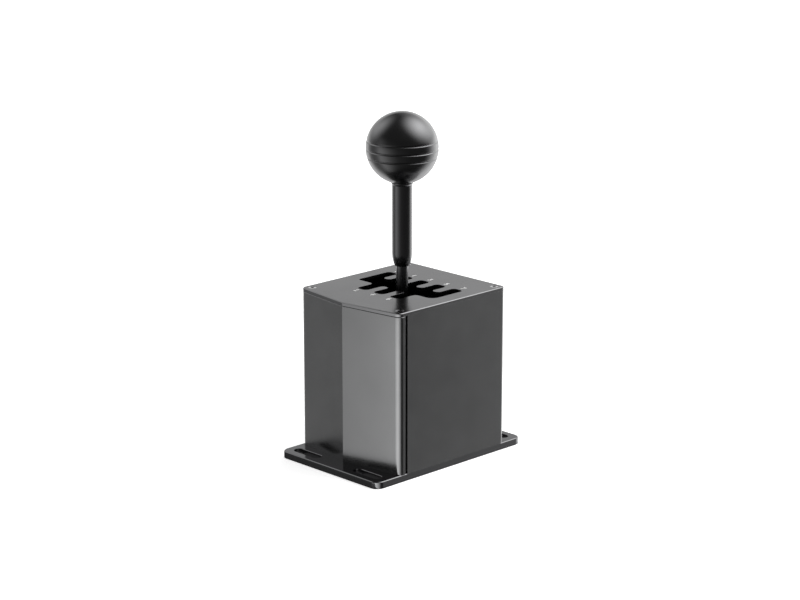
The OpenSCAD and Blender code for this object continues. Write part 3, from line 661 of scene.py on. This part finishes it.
def socket_screw_tree():
    """A countersunk screw with a hexagon socket, head face at the point, shank below it."""
    tree, given = new_tree(
        "socket_screws",
        [
            ("Head Radius", "Float"),
            ("Shank Radius", "Float"),
            ("Rim Height", "Float"),
            ("Length", "Float"),
            ("Socket Radius", "Float"),
            ("Socket Depth", "Float"),
            ("Turn", "Vector"),
            ("Material", "Material"),
            ("Socket Shade Material", "Material"),
        ],
    )
    rim = given["Rim Height"]
    head_height = calculate(
        tree, "SUBTRACT", given["Head Radius"], given["Shank Radius"]
    )
    cone_height = calculate(tree, "SUBTRACT", head_height, rim)
    cone = add(
        tree,
        "GeometryNodeMeshCone",
        None,
        {
            "Vertices": 48,
            "Radius Top": given["Head Radius"],
            "Radius Bottom": given["Shank Radius"],
            "Depth": cone_height,
        },
    ).outputs["Mesh"]
    rim_top = calculate(
        tree, "SUBTRACT", given["Head Radius"], calculate(tree, "MULTIPLY", rim, 0.7)
    )
    edge = add(
        tree,
        "GeometryNodeMeshCone",
        None,
        {
            "Vertices": 48,
            "Radius Top": rim_top,
            "Radius Bottom": given["Head Radius"],
            "Depth": rim,
        },
    ).outputs["Mesh"]
    shank = add(
        tree,
        "GeometryNodeMeshCylinder",
        None,
        {"Vertices": 32, "Radius": given["Shank Radius"], "Depth": given["Length"]},
    ).outputs["Mesh"]
    half_length = calculate(tree, "MULTIPLY", given["Length"], -0.5)
    hexagon = add(
        tree,
        "GeometryNodeMeshCylinder",
        None,
        {
            "Vertices": 6,
            "Radius": given["Socket Radius"],
            "Depth": calculate(tree, "MULTIPLY", given["Socket Depth"], 2.0),
        },
    ).outputs["Mesh"]
    marked = add(
        tree,
        "GeometryNodeStoreNamedAttribute",
        {"data_type": "BOOLEAN", "domain": "FACE"},
        {"Geometry": hexagon, "Name": "socket", "Value": True},
    ).outputs["Geometry"]
    body = add(
        tree,
        "GeometryNodeMeshBoolean",
        {"operation": "UNION", "solver": "EXACT"},
        {
            "Mesh 2": shift(
                tree, cone, calculate(tree, "MULTIPLY", head_height, -1.0)
            )
        },
    )
    for part in (
        shift(tree, edge, calculate(tree, "MULTIPLY", rim, -1.0)),
        shift(tree, shank, half_length),
    ):
        tree.links.new(part, body.inputs["Mesh 2"])
    cut = add(
        tree,
        "GeometryNodeMeshBoolean",
        {"operation": "DIFFERENCE", "solver": "EXACT"},
        {"Mesh 1": body.outputs["Mesh"], "Mesh 2": marked},
    )
    return finish_tree(tree, given, cut.outputs["Mesh"], smooth=False, marked="socket")


def coil_tree():
    """A coil spring with a closed turn at each end, standing on its point."""
    tree, given = new_tree(
        "coil_springs",
        [
            ("Coil Radius", "Float"),
            ("Wire Radius", "Float"),
            ("Height", "Float"),
            ("Turns", "Float"),
            ("Turn", "Vector"),
            ("Material", "Material"),
        ],
    )
    wire = given["Wire Radius"]
    inner_height = calculate(
        tree, "SUBTRACT", given["Height"], calculate(tree, "MULTIPLY", wire, 6.0)
    )
    coil = add(
        tree,
        "GeometryNodeCurveSpiral",
        None,
        {
            "Resolution": 28,
            "Rotations": given["Turns"],
            "Start Radius": given["Coil Radius"],
            "End Radius": given["Coil Radius"],
            "Height": inner_height,
        },
    ).outputs["Curve"]
    end_turn = add(
        tree,
        "GeometryNodeCurvePrimitiveCircle",
        None,
        {"Resolution": 40, "Radius": given["Coil Radius"]},
    ).outputs["Curve"]
    upper = calculate(tree, "SUBTRACT", given["Height"], wire)
    joined = add(tree, "GeometryNodeJoinGeometry")
    for part in (
        shift(tree, coil, calculate(tree, "MULTIPLY", wire, 3.0)),
        shift(tree, end_turn, wire),
        shift(tree, end_turn, upper),
    ):
        tree.links.new(part, joined.inputs["Geometry"])
    section = add(
        tree,
        "GeometryNodeCurvePrimitiveCircle",
        None,
        {"Resolution": 12, "Radius": wire},
    ).outputs["Curve"]
    tube = add(
        tree,
        "GeometryNodeCurveToMesh",
        None,
        {
            "Curve": joined.outputs["Geometry"],
            "Profile Curve": section,
            "Fill Caps": True,
        },
    )
    return finish_tree(tree, given, tube.outputs["Mesh"])


def pan_screw_tree():
    """A pan-headed board screw with a cross slot, head above its point."""
    tree, given = new_tree(
        "pan_screws",
        [
            ("Head Radius", "Float"),
            ("Head Height", "Float"),
            ("Shank Radius", "Float"),
            ("Length", "Float"),
            ("Turn", "Vector"),
            ("Material", "Material"),
        ],
    )
    crown = calculate(tree, "MULTIPLY", given["Head Height"], 0.4)
    skirt = calculate(tree, "SUBTRACT", given["Head Height"], crown)
    skirt_part = add(
        tree,
        "GeometryNodeMeshCylinder",
        None,
        {"Vertices": 32, "Radius": given["Head Radius"], "Depth": skirt},
    ).outputs["Mesh"]
    crown_part = add(
        tree,
        "GeometryNodeMeshCone",
        None,
        {
            "Vertices": 32,
            "Radius Top": calculate(tree, "MULTIPLY", given["Head Radius"], 0.72),
            "Radius Bottom": given["Head Radius"],
            "Depth": crown,
        },
    ).outputs["Mesh"]
    shank_part = add(
        tree,
        "GeometryNodeMeshCylinder",
        None,
        {"Vertices": 24, "Radius": given["Shank Radius"], "Depth": given["Length"]},
    ).outputs["Mesh"]
    body = add(
        tree, "GeometryNodeMeshBoolean", {"operation": "UNION", "solver": "EXACT"}
    )
    for part in (
        shift(tree, skirt_part, calculate(tree, "MULTIPLY", skirt, 0.5)),
        shift(tree, crown_part, skirt),
        shift(tree, shank_part, calculate(tree, "MULTIPLY", given["Length"], -0.5)),
    ):
        tree.links.new(part, body.inputs["Mesh 2"])
    wide = calculate(tree, "MULTIPLY", given["Head Radius"], 1.1)
    thin = calculate(tree, "MULTIPLY", given["Head Radius"], 0.26)
    cut = add(
        tree,
        "GeometryNodeMeshBoolean",
        {"operation": "DIFFERENCE", "solver": "EXACT"},
        {"Mesh 1": body.outputs["Mesh"]},
    )
    for first, second in ((wide, thin), (thin, wide)):
        size = add(
            tree,
            "ShaderNodeCombineXYZ",
            None,
            {"X": first, "Y": second, "Z": given["Head Height"]},
        ).outputs[0]
        blade = add(tree, "GeometryNodeMeshCube", None, {"Size": size}).outputs["Mesh"]
        tree.links.new(shift(tree, blade, given["Head Height"]), cut.inputs["Mesh 2"])
    return finish_tree(tree, given, cut.outputs["Mesh"], smooth=False)


def leg_tree():
    """Rows of small metal legs or contacts: one leg on each point."""
    tree, given = new_tree(
        "contact_rows",
        [("Size", "Vector"), ("Turn", "Vector"), ("Material", "Material")],
    )
    leg = add(tree, "GeometryNodeMeshCube", None, {"Size": given["Size"]})
    return finish_tree(tree, given, leg.outputs["Mesh"], smooth=False)


def grow(name, tree, points, sizes, body, stands_for=(), sharp_over=None):
    """Runs a tree on points and places the plain mesh it makes."""
    mesh = bpy.data.meshes.new(name + "_points")
    mesh.from_pydata([tuple(p) for p in points], [], [])
    helper = bpy.data.objects.new(name + "_helper", mesh)
    SCENE.collection.objects.link(helper)
    modifier = helper.modifiers.new("Parts", "NODES")
    modifier.node_group = tree
    for socket in tree.interface.items_tree:
        if socket.in_out == "INPUT" and socket.name in sizes:
            modifier[socket.identifier] = sizes[socket.name]
    made = settle(helper, name)
    if made.materials and made.materials[0] is None:
        made.materials.pop(index=0)
    if sharp_over:
        soften(made, sharp_over)
    return place(name, made, body, stands_for)


SOCKET_SCREWS = socket_screw_tree()
COILS = coil_tree()
PAN_SCREWS = pan_screw_tree()
LEGS = leg_tree()
UPRIGHT, UPSIDE_DOWN = (0.0, 0.0, 0.0), (math.pi, 0.0, 0.0)


def corner_points(low, high, inset, height):
    """The four places an inset inside a node's box, at a height."""
    return [
        (x, y, height)
        for x in (low.x + inset, high.x - inset)
        for y in (low.y + inset, high.y - inset)
    ]


def screw_sizes(diameter, length, finish, turn):
    """The proportions of a countersunk socket screw."""
    return {
        "Head Radius": diameter,
        "Shank Radius": diameter / 2,
        "Rim Height": diameter * 0.07,
        "Length": length,
        "Socket Radius": diameter * 0.8 / math.cos(math.pi / 6) / 2,
        "Socket Depth": diameter * 0.48,
        "Turn": turn,
        "Material": finish,
        "Socket Shade Material": RECESS_SHADE,
    }


def make_screws():
    """The gate plate's four screws, and the ten that come up through the base plate."""
    low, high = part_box("gate_screws")
    grow(
        "gate_plate_screws",
        SOCKET_SCREWS,
        corner_points(low, high, 3 * MM, high.z),
        screw_sizes(3 * MM, 10 * MM, SCREW, UPRIGHT),
        "housing",
        ("gate_screws",),
        SCREW_EDGE,
    )
    low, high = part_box("base_screws")
    spots = corner_points(low, high, 4 * MM, low.z)
    spots += [(x * MM, y * MM, low.z) for x in (-16, 16) for y in (-35.5, 35.5)]
    spots += [(x * MM, 0, low.z) for x in (-33, 33)]
    grow(
        "base_plate_screws",
        SOCKET_SCREWS,
        spots,
        screw_sizes(4 * MM, 12 * MM, SCREW, UPSIDE_DOWN),
        "housing",
        ("base_screws",),
        SCREW_EDGE,
    )


def make_board_screws():
    """Cross-slotted screws of the two fixed boards, and the cradle's dark cap screws."""
    main_low, main_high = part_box("main_board")
    lane_low, lane_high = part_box("lane_sensor_board")
    sizes = {
        "Head Radius": 1.9 * MM,
        "Head Height": 1.3 * MM,
        "Shank Radius": 1.0 * MM,
        "Length": 6 * MM,
        "Material": SCREW,
    }
    board_front = main_high.y - BOARD_THICKNESS
    main_spots = [
        (x, board_front, z)
        for x in (main_low.x + 3.5 * MM, main_high.x - 3.5 * MM)
        for z in (main_low.z + 3.5 * MM, main_high.z - 3.5 * MM)
    ]
    middle_z = (lane_low.z + lane_high.z) / 2
    lane_spots = [(x * MM, lane_high.y, middle_z) for x in (-9.4, 9.4)]
    grow(
        "main_board_screws",
        PAN_SCREWS,
        main_spots,
        {**sizes, "Turn": (math.pi / 2, 0.0, 0.0)},
        "housing",
        ("board_screws",),
        SCREW_EDGE,
    )
    grow(
        "lane_board_screws",
        PAN_SCREWS,
        lane_spots,
        {**sizes, "Turn": (-math.pi / 2, 0.0, 0.0)},
        "housing",
        sharp_over=SCREW_EDGE,
    )
    low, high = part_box("cradle_screws")
    grow(
        "cradle_cap_screws",
        PAN_SCREWS,
        corner_points(low, high, 2.3 * MM, low.z + 2.4 * MM),
        {
            "Head Radius": 2.3 * MM,
            "Head Height": 2.4 * MM,
            "Shank Radius": 1.25 * MM,
            "Length": high.z - low.z - 2.4 * MM,
            "Turn": UPSIDE_DOWN,
            "Material": DARK_SCREW,
        },
        "rocker",
        ("cradle_screws",),
        SCREW_EDGE,
    )


def make_springs():
    """The two centring springs, left on no body, and the detent spring on the lever."""
    for side in ("left", "right"):
        node = side + "_centring_spring"
        low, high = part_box(node)
        middle = (low.x + high.x) / 2
        spring = grow(
            side + "_coil_spring",
            COILS,
            [(middle, 0, low.z)],
            {
                "Coil Radius": (high.x - low.x) / 2 - 0.75 * MM,
                "Wire Radius": 0.75 * MM,
                "Height": high.z - low.z,
                "Turns": 6.0,
                "Turn": UPRIGHT,
                "Material": SPRING,
            },
            None,
            (node,),
        )
        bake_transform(spring)
    low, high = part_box("detent_spring")
    grow(
        "detent_coil_spring",
        COILS,
        [(0, 0, low.z)],
        {
            "Coil Radius": high.x - 0.4 * MM,
            "Wire Radius": 0.4 * MM,
            "Height": high.z - low.z,
            "Turns": 6.0,
            "Turn": UPRIGHT,
            "Material": SPRING,
        },
        "lever",
        ("detent_spring",),
    )


make_screws()
make_board_screws()
make_springs()


# ------------------------------------------------------- boards and the socket


def block(name, size, centre, finish, ease):
    """A small moulded block with eased edges."""
    bm = bmesh.new()
    bmesh.ops.create_cube(bm, size=1.0)
    bmesh.ops.scale(bm, vec=Vector(size), verts=bm.verts)
    bmesh.ops.bevel(
        bm, geom=bm.edges[:], offset=ease, segments=2, affect="EDGES", profile=0.5
    )
    bmesh.ops.translate(bm, vec=Vector(centre), verts=bm.verts)
    mesh = bpy.data.meshes.new(name)
    bm.to_mesh(mesh)
    bm.free()
    mesh.materials.append(finish)
    soften(mesh, 50)
    return mesh


def make_board_parts():
    """What stands on the main board: the processor's legs and the lead's header."""
    low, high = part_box("main_board")
    front = high.y - BOARD_THICKNESS
    middle = (low.z + high.z) / 2
    leg_spots = []
    for step in range(8):
        along = (step - 3.5) * 0.9 * MM
        for side in (-1, 1):
            leg_spots.append((side * 4.5 * MM, front - 0.25 * MM, middle + along))
            leg_spots.append((along, front - 0.25 * MM, middle + side * 4.5 * MM))
    grow(
        "processor_legs",
        LEGS,
        leg_spots,
        {
            "Size": (0.5 * MM, 0.5 * MM, 0.5 * MM),
            "Turn": UPRIGHT,
            "Material": SOCKET,
        },
        "housing",
    )
    mesh = block(
        "board_header",
        (10 * MM, 2.4 * MM, 3.4 * MM),
        (13 * MM, front - 1.2 * MM, middle + 8 * MM),
        CHIP,
        0.2 * MM,
    )
    place("board_header", mesh, "housing")


def make_socket_tongue():
    """The tongue inside the data socket, with its row of gilt contacts."""
    low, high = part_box("data_socket")
    middle = (low.z + high.z) / 2
    size = (6.4 * MM, high.y - low.y - 1.4 * MM, 0.7 * MM)
    centre = (0, low.y + 0.9 * MM + size[1] / 2, middle)
    place(
        "socket_tongue",
        block("socket_tongue", size, centre, CHIP, 0.1 * MM),
        "housing",
    )
    spots = [
        ((step - 5.5) * 0.5 * MM, centre[1], middle + side * 0.36 * MM)
        for step in range(12)
        for side in (-1, 1)
    ]
    grow(
        "socket_contacts",
        LEGS,
        spots,
        {
            "Size": (0.26 * MM, size[1] - 0.8 * MM, 0.06 * MM),
            "Turn": UPRIGHT,
            "Material": CONTACT,
        },
        "housing",
    )


make_board_parts()
make_socket_tongue()


# -------------------------------------------------------- numbers on the gate


def make_numbers():
    """White numbers at the lane ends, read from the ridged side of the housing."""
    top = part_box("gate_plate")[1].z
    half_print = 0.02 * MM
    rows = (
        (27.5 * MM, {-2: "R", -1: "1", 0: "3", 1: "5", 2: "7"}),
        (-28.5 * MM, {-1: "2", 0: "4", 1: "6"}),
    )
    bm = bmesh.new()
    for row_y, marks in rows:
        for step, mark in marks.items():
            text = bpy.data.curves.new("gear_" + mark, "FONT")
            text.body = mark
            text.size = 6 * MM
            text.extrude = half_print
            text.offset = 0.18 * MM
            text.align_x = "CENTER"
            text.align_y = "CENTER"
            helper = bpy.data.objects.new("gear_" + mark, text)
            SCENE.collection.objects.link(helper)
            mesh = settle(helper, "gear_" + mark)
            spot = (step * LANE_PITCH, row_y, top + half_print)
            mesh.transform(Matrix.Translation(spot))
            bm.from_mesh(mesh)
            bpy.data.meshes.remove(mesh)
    bmesh.ops.remove_doubles(bm, verts=bm.verts, dist=1e-7)
    mesh = bpy.data.meshes.new("gear_numbers")
    bm.to_mesh(mesh)
    bm.free()
    mesh.materials.clear()
    mesh.materials.append(PRINT)
    place("gear_numbers", mesh, "housing")


make_numbers()


# -------------------------------------------------------------- camera, studio


# The camera's place and the direction that its back faces, in the frame's metres.
CAMERA_PLACE = (1.14119, -1.11981, 0.54667)
CAMERA_BACK = (0.68907, -0.67493, 0.26390)
CAMERA_LENS = 107.893

# Lamps stand upright in an arc round this spot, which is half a lamp below the floor.
LAMP_CENTRE = Vector((0.045, -0.0455, -0.1275))
LAMP_DISTANCE = 0.5
LAMP_WIDTH, LAMP_HEIGHT = 0.123, 0.265


def set_camera():
    """The photograph's viewpoint: in front of the near corner, a little above the knob."""
    back = Vector(CAMERA_BACK).normalized()
    right = Vector((0, 0, 1)).cross(back).normalized()
    up = back.cross(right)
    camera = bpy.data.objects.new("camera", bpy.data.cameras.new("camera"))
    camera.data.lens = CAMERA_LENS
    camera.data.sensor_width = 36
    facing = Matrix((right, up, back)).transposed().to_4x4()
    camera.matrix_world = Matrix.Translation(CAMERA_PLACE) @ facing
    SCENE.collection.objects.link(camera)
    SCENE.camera = camera


def lobe(tree, ray, azimuth, elevation, reach, level):
    """A soft patch of light round a bearing and a height, fading out over an angle."""
    turn, rise = math.radians(azimuth), math.radians(elevation)
    middle = (
        math.cos(turn) * math.cos(rise),
        math.sin(turn) * math.cos(rise),
        math.sin(rise),
    )
    aligned = add(
        tree, "ShaderNodeVectorMath", {"operation": "DOT_PRODUCT"}, {0: ray, 1: middle}
    ).outputs["Value"]
    away = calculate(tree, "ARCCOSINE", aligned, 0.0)
    return add(
        tree,
        "ShaderNodeMapRange",
        {"interpolation_type": "SMOOTHSTEP"},
        {"Value": away, "From Max": math.radians(reach), "To Min": level, "To Max": 0.0},
    ).outputs["Result"]


def bearing(tree, ray):
    """The compass bearing of a direction, as a share of the full turn."""
    parts = add(tree, "ShaderNodeSeparateXYZ", None, {"Vector": ray}).outputs
    turn = calculate(tree, "ARCTAN2", parts["Y"], parts["X"])
    share = add(
        tree,
        "ShaderNodeMapRange",
        None,
        {"Value": turn, "From Min": -math.pi, "From Max": math.pi},
    ).outputs["Result"]
    return share, parts["Z"]


def ring(tree, share, stops):
    """Light that changes with the bearing, from (degrees, level) stops."""
    brightest = max(level for _, level in stops)
    walls = add(tree, "ShaderNodeValToRGB", None, {"Fac": share})
    elements = walls.color_ramp.elements
    while len(elements) < len(stops):
        elements.new(0.5)
    for element, (angle, level) in zip(elements, stops):
        element.position = (angle + 180) / 360
        grey = level / brightest
        element.color = (grey, grey, grey, 1)
    return calculate(tree, "MULTIPLY", walls.outputs["Color"], brightest)


def fade(tree, height, start, end, near, far):
    """A number that runs softly from near to far as the height goes from start to end."""
    return add(
        tree,
        "ShaderNodeMapRange",
        {"interpolation_type": "SMOOTHSTEP"},
        {"Value": height, "From Min": start, "From Max": end, "To Min": near, "To Max": far},
    ).outputs["Result"]


def set_world():
    """A round studio: bright behind and to the right, dark in front, with soft lights above."""
    world = bpy.data.worlds.new("studio")
    SCENE.world = world
    world.use_nodes = True
    tree = world.node_tree
    tree.nodes.clear()
    ray = add(tree, "ShaderNodeTexCoord").outputs["Generated"]
    share, height = bearing(tree, ray)
    low_walls = ring(
        tree,
        share,
        [
            (-180, 1.5),
            (-170, 0.85),
            (-163, 0.55),
            (-152, 0.31),
            (-140, 0.34),
            (-130, 0.55),
            (-119, 1.0),
            (-104, 0.75),
            (-80, 0.3),
            (-60, 0.12),
            (-20, 0.07),
            (34, 0.065),
            (42, 0.17),
            (46, 0.32),
            (52, 0.55),
            (62, 1.5),
            (85, 2.6),
            (108, 1.7),
            (125, 1.1),
            (145, 1.1),
            (168, 1.5),
        ],
    )
    high_walls = ring(
        tree,
        share,
        [
            (-180, 0.45),
            (-152, 0.17),
            (-135, 0.25),
            (-119, 0.36),
            (-95, 0.12),
            (-60, 0.07),
            (34, 0.07),
            (55, 0.5),
            (85, 1.0),
            (110, 1.1),
            (150, 1.1),
            (165, 0.7),
        ],
    )
    upper = fade(tree, height, -0.05, 0.2, 0.0, 1.0)
    walls = add(
        tree, "ShaderNodeMix", None, {0: upper, 2: low_walls, 3: high_walls}
    ).outputs[0]
    below = fade(tree, height, -0.97, -0.75, 0.3, 1.0)
    above = fade(tree, height, 0.3, 0.55, 1.0, 0.0)
    level = calculate(tree, "MULTIPLY", walls, calculate(tree, "MULTIPLY", below, above))
    for patch in (
        lobe(tree, ray, 55, 50, 48, 3.8),
        lobe(tree, ray, 89, 31, 50, 1.5),
        lobe(tree, ray, -168, 35, 39, 1.6),
        fade(tree, height, 0.3, 0.6, 0.0, 0.08),
    ):
        level = calculate(tree, "ADD", level, patch)
    studio = add(
        tree, "ShaderNodeBackground", None, {"Color": (1, 1, 1, 1), "Strength": level}
    )
    white = add(
        tree, "ShaderNodeBackground", None, {"Color": (1, 1, 1, 1), "Strength": 1.0}
    )
    seen = add(tree, "ShaderNodeLightPath").outputs["Is Camera Ray"]
    both = add(
        tree,
        "ShaderNodeMixShader",
        None,
        {0: seen, 1: studio.outputs[0], 2: white.outputs[0]},
    )
    add(tree, "ShaderNodeOutputWorld", None, {"Surface": both.outputs[0]})


def set_floor():
    """A white floor that keeps the object's soft shadow and brightens away from it."""
    bm = bmesh.new()
    bmesh.ops.create_grid(bm, x_segments=1, y_segments=1, size=12.0)
    mesh = bpy.data.meshes.new("floor")
    bm.to_mesh(mesh)
    bm.free()
    floor = bpy.data.objects.new("floor", mesh)
    SCENE.collection.objects.link(floor)
    floor.visible_glossy = False
    floor.visible_shadow = False
    finish = bpy.data.materials.new("floor_white")
    finish.use_nodes = True
    tree = finish.node_tree
    tree.nodes.clear()
    paint = add(tree, "ShaderNodeBsdfDiffuse", None, {"Color": (0.85, 0.85, 0.85, 1)})
    where = add(tree, "ShaderNodeTexCoord").outputs["Object"]
    far = add(
        tree, "ShaderNodeVectorMath", {"operation": "LENGTH"}, {0: where}
    ).outputs["Value"]
    lift = fade(tree, far, 0.3, 1.5, 0.68, 1.0)
    seen = add(tree, "ShaderNodeLightPath").outputs["Is Camera Ray"]
    glow = add(
        tree,
        "ShaderNodeEmission",
        None,
        {"Color": (1, 1, 1, 1), "Strength": calculate(tree, "MULTIPLY", seen, lift)},
    )
    both = add(
        tree, "ShaderNodeAddShader", None, {0: paint.outputs[0], 1: glow.outputs[0]}
    )
    add(tree, "ShaderNodeOutputMaterial", None, {"Surface": both.outputs[0]})
    mesh.materials.append(finish)


def set_corner_lamps():
    """Upright lamps round the near corner, which light only the housing and its plates.

    Their light reaches the sides in the low angle at which the camera sees them mirrored.
    """
    lit = bpy.data.collections.new("lit_by_corner_lamps")
    for node in ("front_cover", "rear_shell", "gate_plate", "base_plate"):
        lit.objects.link(bpy.data.objects[node + "_finished"])
    for azimuth, level in (
        (-111, 1.0),
        (-97, 1.35),
        (-83, 1.9),
        (-69, 2.3),
        (-55, 2.1),
        (-41, 1.6),
        (-27, 1.1),
        (-13, 0.5),
    ):
        turn = math.radians(azimuth)
        away = Vector((math.cos(turn), math.sin(turn), 0))
        lamp = bpy.data.lights.new("corner_lamp", "AREA")
        lamp.shape = "RECTANGLE"
        lamp.size = LAMP_WIDTH
        lamp.size_y = LAMP_HEIGHT
        lamp.energy = level * math.pi * LAMP_WIDTH * LAMP_HEIGHT
        holder = bpy.data.objects.new("corner_lamp", lamp)
        facing = away.to_track_quat("Z", "Y").to_matrix().to_4x4()
        holder.matrix_world = (
            Matrix.Translation(LAMP_CENTRE + away * LAMP_DISTANCE) @ facing
        )
        holder.visible_camera = False
        holder.light_linking.receiver_collection = lit
        SCENE.collection.objects.link(holder)


def set_dark_card():
    """A dim card just under the floor's surface, which only reflections can see.

    It keeps the lower edges of the base plate as dark as they are on a table.
    """
    low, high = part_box("base_plate")
    left, front, level = low.x - 14 * MM, low.y - 13 * MM, -0.4 * MM
    mesh = bpy.data.meshes.new("dark_card")
    mesh.from_pydata(
        [
            (left, front, level),
            (high.x, front, level),
            (high.x, high.y, level),
            (left, high.y, level),
        ],
        [],
        [(0, 1, 2, 3)],
    )
    finish = bpy.data.materials.new("dark_card")
    finish.use_nodes = True
    tree = finish.node_tree
    tree.nodes.clear()
    light = add(
        tree, "ShaderNodeEmission", None, {"Color": (1, 1, 1, 1), "Strength": 0.1}
    )
    add(tree, "ShaderNodeOutputMaterial", None, {"Surface": light.outputs[0]})
    finish.cycles.emission_sampling = "NONE"
    mesh.materials.append(finish)
    card = bpy.data.objects.new("dark_card", mesh)
    SCENE.collection.objects.link(card)
    card.visible_camera = False
    card.visible_diffuse = False
    card.visible_shadow = False


set_camera()
set_world()
set_floor()
set_corner_lamps()
set_dark_card()

SCENE.view_settings.view_transform = "Standard"
